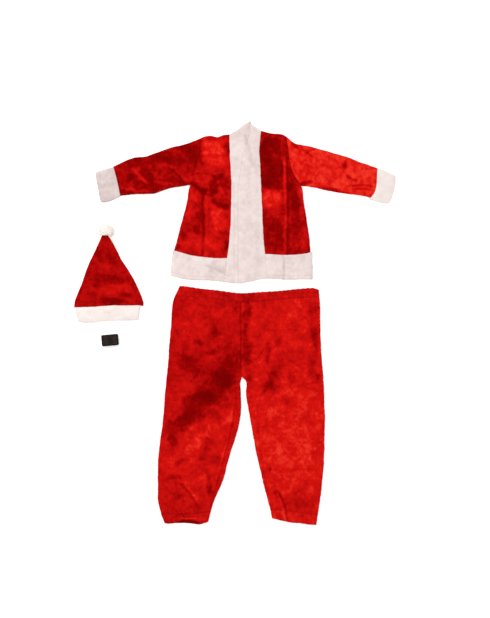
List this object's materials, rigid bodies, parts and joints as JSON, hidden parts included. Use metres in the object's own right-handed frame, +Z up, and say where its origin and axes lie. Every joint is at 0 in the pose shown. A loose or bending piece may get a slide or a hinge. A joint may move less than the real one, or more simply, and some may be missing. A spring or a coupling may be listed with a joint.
{
  "type": "child's santa suit laid flat, with jacket, trousers, hat and rolled belt",
  "caption": "Red plush santa jacket with white plush bands, cuffs and hem, elasticated trousers, pompom hat and rolled black belt, laid flat as a set.",
  "frame": {"origin": "centre of the bottom of the box round the whole set, on the surface that it lies on", "axes": "+Z up from the surface, garment fronts up; +Y from the trousers' ankles to the jacket's neck; +X towards the wearer's left, the viewer's right"},
  "size_m": [0.9639, 1.2106, 0.038],
  "materials": {
    "red_plush": "crushed short-pile polyester plush, satin sheen with dark and bright patches of nap",
    "white_plush": "short-pile plush, matt warm white",
    "white_pile": "fluffy pile, matt warm white",
    "black_faux_leather": "smooth faux leather, semi-gloss black"
  },
  "bodies": {
    "root": {"jacket_back": "red_plush", "front_right": "red_plush", "front_left": "red_plush", "sleeve_right": "red_plush", "sleeve_left": "red_plush", "cuff_right": "white_plush", "cuff_left": "white_plush", "band_right": "white_plush", "band_left": "white_plush", "collar": "white_plush", "hem_back": "white_plush", "hem_front_right": "white_plush", "hem_front_left": "white_plush", "leg_right": "red_plush", "leg_left": "red_plush", "waist_casing": "red_plush", "ankle_casing_right": "red_plush", "ankle_casing_left": "red_plush", "hat_front": "red_plush", "hat_back": "red_plush", "hat_brim": "white_plush", "pompom": "white_pile", "belt": "black_faux_leather"}
  },
  "joints": []
}
